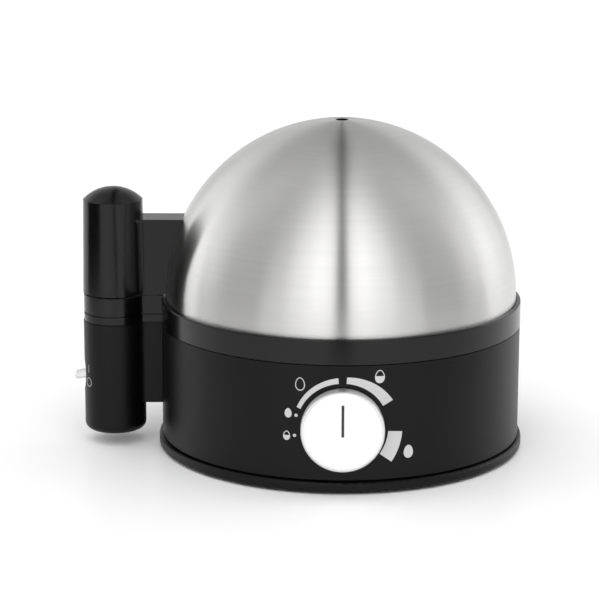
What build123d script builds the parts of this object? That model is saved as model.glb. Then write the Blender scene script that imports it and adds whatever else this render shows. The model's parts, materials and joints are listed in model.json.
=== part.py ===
from build123d import *
import os
from math import asin, cos, degrees, radians, sin, sqrt, tan

# Electric egg cooker: a steel dome lid and an egg tray that lift off a heated base,
# with a control knob on the drum and a toggle switch in the handle column.
# Millimetres, +Z up. The origin is on the drum's axis, at the level that it stands on.
# The knob faces -Y and the handle column stands on the -X side.

FRONT = 270.0  # angle of the knob's side about the drum's axis
BACK = 90.0  # angle of the side opposite

# Clearances
PARTING_GAP = 0.5  # line that shows between the drum and the tray's band
COLUMN_LINE = 0.3  # line that shows between the switch column and the collar
HANDLE_LINE = 0.9  # line that shows between the collar and the lid's handle
LID_CLEARANCE = 0.4  # round the dome's skirt, inside the tray's lip
TRAY_CLEARANCE = 0.5  # between the tray's foot and the deck's rib
RIM_CLEARANCE = 0.4  # round the heating dish's rim
DISH_CLEARANCE = 1.0  # round the heating dish, where the deck is cut away
FIT_GAP = 0.2  # round covers, bushes and bodies that are fitted once
RUN_GAP = 0.05  # round a shaft that turns in its bearing
THREAD_GAP = 0.05  # round a screw in its pilot hole
HOLE_GAP = 0.4  # round a screw that passes through a hole
ROCKER_GAP = 0.4  # round the switch's rocker
OVERCUT = 1.0  # how far a cutting tool runs past the face it cuts

# Lid dome
DOME_R = 87.3
DOME_WALL = 0.8
VENT_R = 3.1
SKIRT_SHOWING = 1.8  # straight skirt above the tray's band
LID_SEAT_DEPTH = 5.2  # how deep the dome sits in the tray's band

# Lid handle
HANDLE_R = 15.4
HANDLE_TOP_R = 14.75
HANDLE_HEIGHT = 46.9
HANDLE_WALL = 2.6
HANDLE_FLOOR = 2.0
LID_BRIDGE_HEIGHT = 38.0
LID_BRIDGE_LAP = 1.5  # how far the bridge's blank runs into the dome before it is trimmed
LIP_OVERHANG = 1.5
LIP_HEIGHT = 1.6
CAP_RISE = 6.2
CAP_SPIGOT = 4.0
LID_SCREW_SHARES = (0.27, 0.78)  # of the bridge's height
LID_SCREW_R = 1.75
LID_SCREW_LENGTH = 9.0  # thread in the handle's bridge
LID_SCREW_HEAD_R = 3.4
LID_SCREW_HEAD = 2.0
WASHER_R = 5.0
WASHER_THICKNESS = 0.8

# Egg tray
BAND_LIP = 1.95
BAND_HEIGHT = 12.0
BAND_EDGE = 0.6
LEDGE_THICKNESS = 2.4
TRAY_FOOT_INSET = 1.5
TRAY_FOOT_WALL = 2.2
COLLAR_R = 15.1
COLLAR_WALL = 2.2
COLLAR_RISE = 1.1  # collar's top above the band's top
COLLAR_GROOVE_RISE = 3.7
COLLAR_GROOVE_WIDTH = 0.9
COLLAR_GROOVE_DEPTH = 0.9
TRAY_BRIDGE_LAP = 1.0  # how far the bridge runs into the band
EGG_PLATE_THICKNESS = 1.2
EGG_PLATE_MARGIN = 2.0  # plate's edge inside the dome's skirt
EGG_PLATE_LAP = 6.5  # plate's edge on the tray's ledge
EGG_SEAT_R = 16.0
EGG_SEAT_WALL = 1.0
EGG_SEAT_DEPTH = 5.0
EGG_SEAT_MARGIN = 11.0  # between the outer seats and the tray's ledge
OUTER_SEATS = 6
STEAM_HOLE_R = 4.0
STEAM_HOLE_OFFSET = 14.0  # outside the seats' circle
RIVETS = 6
RIVET_R = 1.5
RIVET_HEAD_R = 2.5
RIVET_HEAD = 0.9

# Base drum and its bottom plate
BAND_OVERHANG = 0.15
DRUM_WALL = 2.5
DRUM_HEIGHT = 55.7
DECK_THICKNESS = 2.5
RIB_WALL = 1.8
RIB_HEIGHT = 3.0
SHADOW_GAP = 0.8  # line that shows between the drum and the flange
FLANGE_OVERHANG = 1.7
FLANGE_HEIGHT = 5.3
FLANGE_EDGE = 1.4
PLATE_THICKNESS = 2.5
SPIGOT_WALL = 2.0
SPIGOT_HEIGHT = 3.9
FOOT_STANDOFF = 0.8
FOOT_SINK = 1.2
FOOT_RING_INSET = 13.6  # ring's middle inside the base screws
FOOT_RING_WIDTH = 7.0
AIR_SLOTS = 8
AIR_SLOT_INSET = 24.0  # slots' middles inside the foot ring's
AIR_SLOT_LENGTH = 18.0
AIR_SLOT_WIDTH = 3.0
BOSSES = 4
BOSS_R = 4.2
BOSS_LAP = 0.8  # how far a boss runs into the drum's wall
BASE_SCREW_R = 1.75
BASE_SCREW_LENGTH = 12.0
BASE_SCREW_HEAD_R = 3.2
BASE_SCREW_HEAD = 1.2

# Heating dish and what hangs under it
DISH_WALL = 1.0
DISH_DEPTH = 10.5
DISH_RIM_WIDTH = 6.0
DISH_CORNER = 6.0
SEAL_THICKNESS = 1.5
SPREADER_INSET = 17.3  # inside the dish's wall
SPREADER_THICKNESS = 3.0
HEATER_INSET = 10.0  # inside the studs' circle
HEATER_TUBE_R = 3.2
HEATER_GAP_ANGLE = 22.0  # half the opening in the heater's ring
HEATER_BEND_R = 8.0
HEATER_LEG = 4.0
HEATER_PIN_R = 1.2
HEATER_PIN_LENGTH = 7.0
STRAPS = 3
STUD_INSET = 6.0  # inside the spreader's edge
STUD_R = 2.0
STUD_LENGTH = 10.6
STRAP_DROP = 4.5
STRAP_WIDTH = 10.0
STRAP_THICKNESS = 1.5
STRAP_END_LAP = 4.0
STRAP_LEG_INSET = 2.2
NUT_R = 3.9
NUT_HEIGHT = 3.2
THERMOSTAT_R = 8.0
THERMOSTAT_HEIGHT = 7.0
BRACKET_WIDTH = 12.0
BRACKET_THICKNESS = 1.2
BRACKET_FOOT = 9.0
BRACKET_SCREW_R = 1.5
BRACKET_SCREW_HEAD_R = 2.8
BRACKET_SCREW_HEAD = 1.8
BRACKET_SCREW_BITE = 2.2
FUSE_R = 2.0
FUSE_LENGTH = 12.0
FUSE_STANDOFF = 9.0  # from the thermostat

# Control knob and board
KNOB_HEIGHT = 32.35
KNOB_R = 19.8
KNOB_DEPTH = 6.9
KNOB_STANDOFF = 0.8
KNOB_WALL = 2.0
KNOB_EDGE = 2.6
KNOB_HUB_R = 5.5
POINTER_WIDTH = 1.3
POINTER_DEPTH = 0.5
POINTER_REACH = 13.4
POINTER_TAIL = 2.1
SHAFT_R = 3.0
SHAFT_FLAT = 1.0
SHAFT_END_GAP = 0.5
POT_WIDTH = 17.0
POT_DEPTH = 9.0
POT_FLOOR = 1.0
BUSHING_R = 4.5
BUSHING_LENGTH = 5.0
BOARD_SETBACK = 13.0  # board's front inside the drum's bore
BOARD_WIDTH = 56.0
BOARD_HEIGHT = 22.0
BOARD_THICKNESS = 1.6
POST_R = 3.2
POST_X = 24.0
POST_Z = 7.0
BOARD_SCREW_R = 1.25
BOARD_SCREW_LENGTH = 6.0
BOARD_SCREW_HEAD_R = 2.4
BOARD_SCREW_HEAD = 1.6
RELAY_SIZE = (18.0, 10.0, 12.0)
RELAY_X = -9.0
BUZZER_R = 6.0
BUZZER_DEPTH = 6.5
BUZZER_X = 12.0
UPPER_ROW = 4.6  # height of the relay and the buzzer above the board's middle
CONNECTOR_SIZE = (28.0, 9.0, 8.0)
LOWER_ROW = -6.4
CONNECTOR_PITCH = 7.0
CONNECTOR_WAYS = 4

# Handle column, switch and cord gland
HANDLE_GAP = 8.5  # between the drum and the column
COLUMN_R = 15.4
COLUMN_WALL = 2.0
COLUMN_BOTTOM = 6.3
COLUMN_EDGE = 4.0
COLUMN_FLOOR = 2.5
COLUMN_CAP_THICKNESS = 2.5
COLUMN_CAP_LEDGE = 0.8
BRIDGE_WIDTH = 13.5
BRIDGE_DROP = 14.0  # bridge's underside below the switch's middle
BRIDGE_FILLET = 4.0
CHANNEL_WIDTH = 8.4
CHANNEL_HEIGHT = 14.0
COLUMN_SCREW_DROP = 3.5  # lower screw below the leads' channel
COLUMN_SCREW_INSET = 8.6  # upper screw below the drum's top
COLUMN_SCREW_R = 1.5
COLUMN_SCREW_LENGTH = 7.0
COLUMN_SCREW_HEAD_R = 2.6
COLUMN_SCREW_HEAD = 1.8
SWITCH_HEIGHT = 35.2
SCOOP_HEIGHT = 17.0
SCOOP_DEPTH = 1.1
SLOT_HEIGHT = 12.0
SLOT_WIDTH = 8.4
SWITCH_WIDTH = 12.0
SWITCH_WALL = 2.0
PIVOT_INSET = 3.4
PIVOT_R = 1.5
PIVOT_END_GAP = 0.4
LEVER_REACH = 4.6
LEVER_THICKNESS = 3.3
LEVER_WIDTH = 6.0
LEVER_ROUND = 1.5
LEVER_REST_ANGLE = 7.0  # below level
TAB_LENGTH = 6.0
TAB_HEIGHT = 4.8
TAB_THICKNESS = 0.8
TAB_PITCH = 7.2
GLAND_HEIGHT = 17.0
GLAND_BORE_R = 3.4
GLAND_R = 5.0
GLAND_FLANGE_R = 7.0
GLAND_FLANGE = 2.0
GLAND_TAIL = 2.0
GLAND_BEAD_R = 5.8
BLOCK_SIZE = (24.0, 14.0, 13.0)
BLOCK_INSET = 25.0  # block's middle inside the drum's wall
BLOCK_PITCH = 7.0
LEAD_R = 1.1
LEAD_STUB = 8.0  # straight run at a terminal
LEAD_BEND_SHARE = 0.45  # how much of its shorter run a bend may use
# Leads' routes, as shares of the drum's bore across and of the switch's height upwards
LIVE_ROUTE = ((-0.25, 0.44, 0.28), (-0.51, 0.3, 0.37), (-0.74, 0.14, 0.65), (-0.92, 0.03, 0.97))
SWITCHED_ROUTE = ((-0.92, -0.04, 0.83), (-0.71, -0.23, 0.57), (-0.51, -0.44, 0.43), (-0.3, -0.55, 0.51))
NEUTRAL_ROUTE = ((0.25, 0.41, 0.28), (0.46, 0.23, 0.28), (0.51, -0.07, 0.31), (0.41, -0.37, 0.43))
HEATER_ROUTE = ((0.07, -0.55, 0.43),)  # to the right pin; the left one mirrors it
EARTH_SLACK = ((0, -5, 8), (0, -8, -4))  # loop from the block's run, and from the stud's

# Radii worked out from the dome outwards, and then inwards again
dome_inner_r = DOME_R - DOME_WALL
lip_r = DOME_R + LID_CLEARANCE
band_r = lip_r + BAND_LIP
drum_r = band_r - BAND_OVERHANG
drum_bore_r = drum_r - DRUM_WALL
flange_r = drum_r + FLANGE_OVERHANG
tray_foot_r = lip_r - TRAY_FOOT_INSET
tray_foot_inner_r = tray_foot_r - TRAY_FOOT_WALL
rib_r = tray_foot_inner_r - TRAY_CLEARANCE
rib_inner_r = rib_r - RIB_WALL
dish_rim_r = rib_inner_r - RIM_CLEARANCE
dish_r = dish_rim_r - DISH_RIM_WIDTH
step_inner_r = dish_r + DISH_CLEARANCE
spigot_r = drum_bore_r - FIT_GAP
spigot_inner_r = spigot_r - SPIGOT_WALL
boss_circle_r = drum_bore_r + BOSS_LAP - BOSS_R
egg_plate_r = dome_inner_r - EGG_PLATE_MARGIN
ledge_inner_r = egg_plate_r - EGG_PLATE_LAP
rivet_circle_r = tray_foot_inner_r - RIVET_HEAD_R - HOLE_GAP
egg_pitch_r = ledge_inner_r - EGG_SEAT_R - EGG_SEAT_WALL - EGG_SEAT_MARGIN
steam_circle_r = egg_pitch_r + STEAM_HOLE_OFFSET
foot_ring_r = boss_circle_r - FOOT_RING_INSET
air_slot_r = foot_ring_r - AIR_SLOT_INSET
spreader_r = dish_r - SPREADER_INSET
stud_circle_r = spreader_r - STUD_INSET
heater_ring_r = stud_circle_r - HEATER_INSET
block_y = drum_bore_r - BLOCK_INSET

# Heights worked out from the floor upwards
plate_top = FOOT_STANDOFF + PLATE_THICKNESS
flange_top = FOOT_STANDOFF + FLANGE_HEIGHT
drum_bottom = flange_top + SHADOW_GAP
drum_top = drum_bottom + DRUM_HEIGHT
deck_bottom = drum_top - DECK_THICKNESS
step_top = drum_top - DISH_WALL - SEAL_THICKNESS
step_bottom = step_top - DECK_THICKNESS
band_bottom = drum_top + PARTING_GAP
band_top = band_bottom + BAND_HEIGHT
ledge_top = band_top - LID_SEAT_DEPTH
ledge_bottom = ledge_top - LEDGE_THICKNESS
egg_plate_top = ledge_top + EGG_PLATE_THICKNESS
collar_bottom = drum_top + COLUMN_LINE
collar_top = band_top + COLLAR_RISE
dome_z = band_top + SKIRT_SHOWING
handle_bottom = collar_top + HANDLE_LINE
handle_top = handle_bottom + HANDLE_HEIGHT
lid_bridge_top = handle_bottom + LID_BRIDGE_HEIGHT
lid_screw_heights = [handle_bottom + share * LID_BRIDGE_HEIGHT for share in LID_SCREW_SHARES]
lid_screw_angles = [degrees(asin((z - dome_z) / DOME_R)) for z in lid_screw_heights]
dish_floor = drum_top - DISH_DEPTH
dish_bottom = dish_floor - DISH_WALL
spreader_bottom = dish_bottom - SPREADER_THICKNESS
heater_z = spreader_bottom - HEATER_TUBE_R
strap_top = spreader_bottom - STRAP_DROP
strap_bottom = strap_top - STRAP_THICKNESS
thermostat_bottom = spreader_bottom - THERMOSTAT_HEIGHT

# Handle column and switch
column_x = -(drum_r + HANDLE_GAP + COLUMN_R)
column_bore_r = COLUMN_R - COLUMN_WALL
cap_seat_r = column_bore_r + COLUMN_CAP_LEDGE
bridge_bottom = SWITCH_HEIGHT - BRIDGE_DROP
channel_bottom = SWITCH_HEIGHT - CHANNEL_HEIGHT / 2
channel_top = SWITCH_HEIGHT + CHANNEL_HEIGHT / 2
column_screw_heights = (channel_bottom - COLUMN_SCREW_DROP, drum_top - COLUMN_SCREW_INSET)
scoop_r = (SCOOP_HEIGHT**2 / 4 + SCOOP_DEPTH**2) / (2 * SCOOP_DEPTH)
scoop_x = column_x - COLUMN_R + SCOOP_DEPTH - scoop_r
rocker_r = SLOT_HEIGHT / 2 - ROCKER_GAP
rocker_width = SLOT_WIDTH - 2 * ROCKER_GAP
switch_front_x = column_x - sqrt(column_bore_r**2 - (SWITCH_WIDTH / 2) ** 2) + FIT_GAP
pivot_x = switch_front_x + PIVOT_INSET
pocket_r = rocker_r + ROCKER_GAP
switch_back_x = pivot_x + pocket_r + SWITCH_WALL
tab_end_x = switch_back_x + TAB_LENGTH

# Control: a plane on the drum's front, whose Z points out along the knob's shaft and whose Y is up
control = Plane(origin=(0, -drum_r, KNOB_HEIGHT), x_dir=(1, 0, 0), z_dir=(0, -1, 0))
board_front = -(DRUM_WALL + BOARD_SETBACK)
board_back = board_front - BOARD_THICKNESS
pot_front = board_front + POT_DEPTH
knob_back = KNOB_STANDOFF
knob_front = KNOB_STANDOFF + KNOB_DEPTH
knob_cavity_top = knob_front - KNOB_WALL
shaft_end = knob_cavity_top - SHAFT_END_GAP
connector_y = -drum_r - board_back + CONNECTOR_SIZE[1]
connector_z = KNOB_HEIGHT + LOWER_ROW


def disc(radius, z0, z1, x=0.0, y=0.0):
    """An upright cylinder between two heights."""
    upright = Cylinder(radius, z1 - z0, align=(Align.CENTER, Align.CENTER, Align.MIN))
    return Pos(x, y, z0) * upright


def ring(outer, inner, z0, z1, x=0.0, y=0.0):
    """An upright ring between two heights."""
    return disc(outer, z0, z1, x, y) - disc(inner, z0 - OVERCUT, z1 + OVERCUT, x, y)


def block(x0, x1, y0, y1, z0, z1):
    """A box between two corners."""
    middle = Pos((x0 + x1) / 2, (y0 + y1) / 2, (z0 + z1) / 2)
    return middle * Box(x1 - x0, y1 - y0, z1 - z0)


def rod(radius, start, end):
    """A cylinder between two points."""
    along = Vector(end) - Vector(start)
    upright = Cylinder(radius, along.length, align=(Align.CENTER, Align.CENTER, Align.MIN))
    return Plane(origin=start, z_dir=along) * upright


def polar(radius, angle, z=0.0):
    """A point at a radius and an angle about the drum's axis."""
    return Vector(radius * cos(radians(angle)), radius * sin(radians(angle)), z)


def round_places(count, radius, z=0.0, start=0.0):
    """Points evenly spaced on a circle about the drum's axis."""
    return [polar(radius, start + 360 / count * i, z) for i in range(count)]


def turned(edges):
    """A solid of revolution about the drum's axis, from edges in the XZ plane."""
    return revolve(make_face(edges), Axis.Z)


def at(radius, z):
    """A point of a turned outline."""
    return (radius, 0, z)


def arc_about(centre_r, centre_z, radius, start, end):
    """An arc of a turned outline between two angles above the horizontal."""
    angles = (start, (start + end) / 2, end)
    return ThreePointArc(
        *(at(centre_r + radius * cos(radians(a)), centre_z + radius * sin(radians(a))) for a in angles)
    )


def chain(*points):
    """Straight edges of a turned outline."""
    return [Line(a, b) for a, b in zip(points, points[1:])]


def handle_plan(radius, width, inner_x, z):
    """A handle tier's outline from above: a round column, and a bridge that flows into it."""
    half = width / 2
    reach = sqrt((radius + BRIDGE_FILLET) ** 2 - (half + BRIDGE_FILLET) ** 2)
    share = radius / (radius + BRIDGE_FILLET)
    fillet_centre = Vector(column_x + reach, half + BRIDGE_FILLET, z)
    to_column = Vector(-reach, -(half + BRIDGE_FILLET), 0).normalized()
    to_middle = (to_column + Vector(0, -1, 0)).normalized()
    touch = Vector(column_x + share * reach, share * (half + BRIDGE_FILLET), z)
    middle = fillet_centre + to_middle * BRIDGE_FILLET
    start = Vector(column_x + reach, half, z)
    corner = Vector(inner_x, half, z)

    def mirrored(point):
        return Vector(point.X, -point.Y, point.Z)

    return make_face(
        [
            ThreePointArc(touch, Vector(column_x - radius, 0, z), mirrored(touch)),
            ThreePointArc(mirrored(touch), mirrored(middle), mirrored(start)),
            Line(mirrored(start), mirrored(corner)),
            Line(mirrored(corner), corner),
            Line(corner, start),
            ThreePointArc(start, middle, touch),
        ]
    )


def prism(plan, height):
    """A plan raised straight up."""
    return extrude(plan, height, dir=(0, 0, 1))


# Base


def base_housing():
    """The drum's wall and deck, the step that the heating dish sits on, bosses and board posts."""
    drum = ring(drum_r, drum_bore_r, drum_bottom, drum_top)
    drum += ring(drum_r, rib_inner_r, deck_bottom, drum_top)
    drum += ring(rib_r, rib_inner_r, deck_bottom, drum_top + RIB_HEIGHT)
    drum += ring(rib_r, step_inner_r, step_bottom, step_top)
    for place in round_places(BOSSES, boss_circle_r, start=180 / BOSSES):
        boss = disc(BOSS_R, plate_top, step_top, place.X, place.Y)
        pilot_top = plate_top + BASE_SCREW_LENGTH
        drum += boss - disc(BASE_SCREW_R + THREAD_GAP, plate_top - OVERCUT, pilot_top, place.X, place.Y)
    for x, y in board_places():
        post = disc(POST_R, board_front, -DRUM_WALL / 2, x, y)
        pilot_end = board_front + BOARD_SCREW_LENGTH
        post -= disc(BOARD_SCREW_R + THREAD_GAP, board_front - OVERCUT, pilot_end, x, y)
        drum += (control * post) & disc(drum_r - DRUM_WALL / 2, drum_bottom, drum_top)
    drum -= control * disc(BUSHING_R + HOLE_GAP, pot_front, OVERCUT)
    drum -= rod(GLAND_R + FIT_GAP, (0, spigot_inner_r, GLAND_HEIGHT), (0, drum_r + OVERCUT, GLAND_HEIGHT))
    drum -= lead_channel(-drum_r - OVERCUT, -drum_bore_r + BOSS_R)
    for z in column_screw_heights:
        drum -= rod(COLUMN_SCREW_R + HOLE_GAP, (-spigot_inner_r, 0, z), (-drum_r - OVERCUT, 0, z))
    return drum


def board_places():
    """The control board's fixing points, on the control plane."""
    return [(x, y) for x in (-POST_X, POST_X) for y in (-POST_Z, POST_Z)]


def lead_channel(x0, x1):
    """The leads' way from the switch column into the drum."""
    return block(x0, x1, -CHANNEL_WIDTH / 2, CHANNEL_WIDTH / 2, channel_bottom, channel_top)


def bottom_plate():
    """The floor with its rounded flange, the spigot that centres the drum, and air slots."""
    edge = FLANGE_EDGE
    plate = turned(
        chain(at(0, plate_top), at(0, FOOT_STANDOFF), at(flange_r - edge, FOOT_STANDOFF))
        + [arc_about(flange_r - edge, FOOT_STANDOFF + edge, edge, -90, 0)]
        + chain(at(flange_r, FOOT_STANDOFF + edge), at(flange_r, flange_top - edge))
        + [arc_about(flange_r - edge, flange_top - edge, edge, 0, 90)]
        + chain(
            at(flange_r - edge, flange_top),
            at(spigot_r, flange_top),
            at(spigot_r, flange_top + SPIGOT_HEIGHT),
            at(spigot_inner_r, flange_top + SPIGOT_HEIGHT),
            at(spigot_inner_r, plate_top),
            at(0, plate_top),
        )
    )
    plate -= foot_ring()
    slot = block(
        air_slot_r - AIR_SLOT_LENGTH / 2,
        air_slot_r + AIR_SLOT_LENGTH / 2,
        -AIR_SLOT_WIDTH / 2,
        AIR_SLOT_WIDTH / 2,
        0,
        plate_top + OVERCUT,
    )
    for i in range(AIR_SLOTS):
        plate -= Rot(0, 0, (180 + 360 * i) / AIR_SLOTS) * slot
    for place in round_places(BOSSES, boss_circle_r, start=180 / BOSSES):
        plate -= disc(BOSS_R + FIT_GAP, plate_top, flange_top + SPIGOT_HEIGHT + OVERCUT, place.X, place.Y)
        plate -= disc(BASE_SCREW_R + HOLE_GAP, 0, plate_top + OVERCUT, place.X, place.Y)
        plate -= disc(
            BASE_SCREW_HEAD_R + HOLE_GAP, 0, FOOT_STANDOFF + BASE_SCREW_HEAD, place.X, place.Y
        )
    return plate


def foot_ring():
    """The non-slip ring that the cooker stands on, sunk in the bottom plate."""
    half = FOOT_RING_WIDTH / 2
    return ring(foot_ring_r + half, foot_ring_r - half, 0, FOOT_STANDOFF + FOOT_SINK)


def base_screws():
    """Screws from below, through the bottom plate into the drum's bosses."""
    seat = FOOT_STANDOFF + BASE_SCREW_HEAD
    screws = []
    for place in round_places(BOSSES, boss_circle_r, start=180 / BOSSES):
        head = disc(BASE_SCREW_HEAD_R, FOOT_STANDOFF, seat, place.X, place.Y)
        screws.append(head + disc(BASE_SCREW_R, seat, plate_top + BASE_SCREW_LENGTH, place.X, place.Y))
    return Compound(children=screws)


# Heating


def heating_dish():
    """The pressed steel water dish, with a flat rim on the seal."""
    corner_r = dish_r - DISH_CORNER
    return turned(
        chain(
            at(0, dish_floor),
            at(0, dish_bottom),
            at(corner_r, dish_bottom),
        )
        + [arc_about(corner_r, dish_bottom + DISH_CORNER, DISH_CORNER, -90, 0)]
        + chain(
            at(dish_r, dish_bottom + DISH_CORNER),
            at(dish_r, drum_top - DISH_WALL),
            at(dish_rim_r, drum_top - DISH_WALL),
            at(dish_rim_r, drum_top),
            at(dish_r - DISH_WALL, drum_top),
            at(dish_r - DISH_WALL, dish_bottom + DISH_CORNER),
        )
        + [arc_about(corner_r, dish_bottom + DISH_CORNER, DISH_CORNER - DISH_WALL, 0, -90)]
        + chain(at(corner_r, dish_floor), at(0, dish_floor))
    )


def dish_seal():
    """The silicone ring between the dish's rim and the deck's step."""
    return ring(dish_rim_r, step_inner_r, step_top, step_top + SEAL_THICKNESS)


def heat_spreader():
    """The aluminium disc under the dish, with blind holes for the thermostat's bracket."""
    spreader = disc(spreader_r, spreader_bottom, dish_bottom)
    for x in bracket_screw_places():
        spreader -= disc(
            BRACKET_SCREW_R + THREAD_GAP, spreader_bottom - OVERCUT, spreader_bottom + BRACKET_SCREW_BITE, x
        )
    return spreader


def heater_ends():
    """Each end of the heater's ring, the right one first: its place, and the way that its leg sets off."""
    ends = []
    for side in (1, -1):
        angle = FRONT + side * HEATER_GAP_ANGLE
        ends.append((polar(heater_ring_r, angle, heater_z), polar(1, angle - side * 90)))
    return ends


def heater_leg_foot(place, away):
    """Where a heater leg ends after its bend."""
    return place + away * HEATER_BEND_R - Vector(0, 0, HEATER_BEND_R + HEATER_LEG)


def heater_element():
    """The tubular heater: a ring under the spreader with both ends bent down."""
    sweep_angle = 360 - 2 * HEATER_GAP_ANGLE
    edges = [CenterArc((0, 0, heater_z), heater_ring_r, FRONT + HEATER_GAP_ANGLE, sweep_angle)]
    down = Vector(0, 0, -1)
    for place, away in heater_ends():
        middle = place + down * HEATER_BEND_R + (away - down) * (HEATER_BEND_R * sin(radians(45)))
        bend_end = place + (down + away) * HEATER_BEND_R
        edges.append(ThreePointArc(place, middle, bend_end))
        edges.append(Line(bend_end, heater_leg_foot(place, away)))
    path = Wire(edges)
    return sweep(Plane(origin=path @ 0, z_dir=path % 0) * Circle(HEATER_TUBE_R), path=path)


def heater_terminals():
    """The heater's connecting pins."""
    pins = []
    for place, away in heater_ends():
        foot = heater_leg_foot(place, away)
        pins.append(disc(HEATER_PIN_R, foot.Z - HEATER_PIN_LENGTH, foot.Z, foot.X, foot.Y))
    return Compound(children=pins)


def stud_places():
    """The dish's studs, one of them at the back."""
    return round_places(STRAPS, stud_circle_r, start=BACK)


def dish_studs():
    """Studs welded under the spreader."""
    stud_bottom = spreader_bottom - STUD_LENGTH
    return Compound(children=[disc(STUD_R, stud_bottom, spreader_bottom, p.X, p.Y) for p in stud_places()])


def dish_straps():
    """Steel straps that hook under the deck's step and pull the dish down on its seal."""
    leg_x = step_inner_r + STRAP_LEG_INSET
    out_x = leg_x + STRAP_THICKNESS
    half = STRAP_WIDTH / 2
    strap = block(stud_circle_r - STRAP_END_LAP, out_x, -half, half, strap_bottom, strap_top)
    strap += block(leg_x, out_x, -half, half, strap_bottom, step_bottom)
    strap -= disc(STUD_R + THREAD_GAP, strap_bottom - OVERCUT, strap_top + OVERCUT, stud_circle_r)
    return Compound(children=[Rot(0, 0, BACK + 360 / STRAPS * i) * strap for i in range(STRAPS)])


def dish_nuts():
    """Hexagon nuts under the straps."""
    hexagon = RegularPolygon(NUT_R, 6) - Circle(STUD_R + THREAD_GAP)
    nut = extrude(hexagon, NUT_HEIGHT)
    return Compound(children=[Pos(p.X, p.Y, strap_bottom - NUT_HEIGHT) * nut for p in stud_places()])


def thermostat():
    """The snap-disc thermostat, held against the spreader's middle."""
    return disc(THERMOSTAT_R, thermostat_bottom, spreader_bottom)


def bracket_screw_places():
    """The bracket's screws, along X on either side of the thermostat."""
    x = THERMOSTAT_R + HOLE_GAP + BRACKET_THICKNESS + BRACKET_FOOT / 2
    return (-x, x)


def thermostat_bracket():
    """A bent steel strip that presses the thermostat up."""
    half = BRACKET_WIDTH / 2
    leg_x = THERMOSTAT_R + HOLE_GAP
    out_x = leg_x + BRACKET_THICKNESS
    low = thermostat_bottom - BRACKET_THICKNESS
    foot_bottom = spreader_bottom - BRACKET_THICKNESS
    bracket = block(-out_x, out_x, -half, half, low, thermostat_bottom)
    for side in (-1, 1):
        legs = sorted((side * leg_x, side * out_x))
        feet = sorted((side * leg_x, side * (out_x + BRACKET_FOOT)))
        bracket += block(*legs, -half, half, low, spreader_bottom)
        bracket += block(*feet, -half, half, foot_bottom, spreader_bottom)
    for x in bracket_screw_places():
        bracket -= disc(BRACKET_SCREW_R + THREAD_GAP, foot_bottom - OVERCUT, spreader_bottom + OVERCUT, x)
    return bracket


def thermostat_screws():
    """The bracket's screws, up into the spreader."""
    seat = spreader_bottom - BRACKET_THICKNESS
    screws = []
    for x in bracket_screw_places():
        head = disc(BRACKET_SCREW_HEAD_R, seat - BRACKET_SCREW_HEAD, seat, x)
        screws.append(head + disc(BRACKET_SCREW_R, seat, spreader_bottom + BRACKET_SCREW_BITE, x))
    return Compound(children=screws)


def thermal_fuse():
    """The thermal fuse, lying against the spreader beside the thermostat."""
    y = THERMOSTAT_R + FUSE_STANDOFF + FUSE_R
    z = spreader_bottom - FUSE_R - THREAD_GAP
    return rod(FUSE_R, (-FUSE_LENGTH / 2, y, z), (FUSE_LENGTH / 2, y, z))


# Control


def control_board():
    """The circuit board on its posts behind the knob."""
    half = BOARD_WIDTH / 2
    board = block(-half, half, -BOARD_HEIGHT / 2, BOARD_HEIGHT / 2, board_back, board_front)
    for x, y in board_places():
        board -= disc(BOARD_SCREW_R + FIT_GAP, board_back - OVERCUT, board_front + OVERCUT, x, y)
    return control * board


def board_screws():
    """Screws through the board into its posts."""
    screws = []
    for x, y in board_places():
        screw = disc(BOARD_SCREW_HEAD_R, board_back - BOARD_SCREW_HEAD, board_back, x, y)
        screw += disc(BOARD_SCREW_R, board_back, board_front + BOARD_SCREW_LENGTH, x, y)
        screws.append(control * screw)
    return Compound(children=screws)


def potentiometer():
    """The potentiometer on the board's front, with the bushing that its shaft turns in."""
    half = POT_WIDTH / 2
    body = block(-half, half, -half, half, board_front, pot_front)
    body += disc(BUSHING_R, pot_front, pot_front + BUSHING_LENGTH)
    body -= disc(SHAFT_R + RUN_GAP, board_front + POT_FLOOR, pot_front + BUSHING_LENGTH + OVERCUT)
    return control * body


def relay():
    """The heater's relay on the board's back."""
    width, depth, height = RELAY_SIZE
    x, y = RELAY_X, UPPER_ROW
    return control * block(
        x - width / 2, x + width / 2, y - height / 2, y + height / 2, board_back - depth, board_back
    )


def buzzer():
    """The sounder on the board's back."""
    return control * disc(BUZZER_R, board_back - BUZZER_DEPTH, board_back, BUZZER_X, UPPER_ROW)


def board_connector():
    """The screw terminals along the board's lower edge."""
    width, depth, height = CONNECTOR_SIZE
    return control * block(
        -width / 2, width / 2, LOWER_ROW - height / 2, LOWER_ROW + height / 2, board_back - depth, board_back
    )


def control_shaft():
    """The potentiometer's shaft, with a flat where the knob grips it."""
    shaft = disc(SHAFT_R, board_front + POT_FLOOR + FIT_GAP, shaft_end)
    return control * (shaft - shaft_flat(0, shaft_end + OVERCUT))


def shaft_flat(gap, end):
    """What is cut off the shaft's front to make its flat."""
    past = SHAFT_R + OVERCUT
    return block(-past, past, SHAFT_R - SHAFT_FLAT + gap, past, knob_back, end)


def knob():
    """The hollow knob with a hub on the shaft and a sunk line for its pointer."""
    body = disc(KNOB_R, knob_back, knob_front)
    body = fillet(body.edges().group_by(Axis.Z)[-1], KNOB_EDGE)
    body -= ring(KNOB_R - KNOB_WALL, KNOB_HUB_R, knob_back - OVERCUT, knob_cavity_top)
    bore = disc(SHAFT_R + RUN_GAP, knob_back - OVERCUT, knob_cavity_top)
    body -= bore - shaft_flat(RUN_GAP, knob_cavity_top + OVERCUT)
    return control * (body - pointer_bar(OVERCUT))


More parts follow.
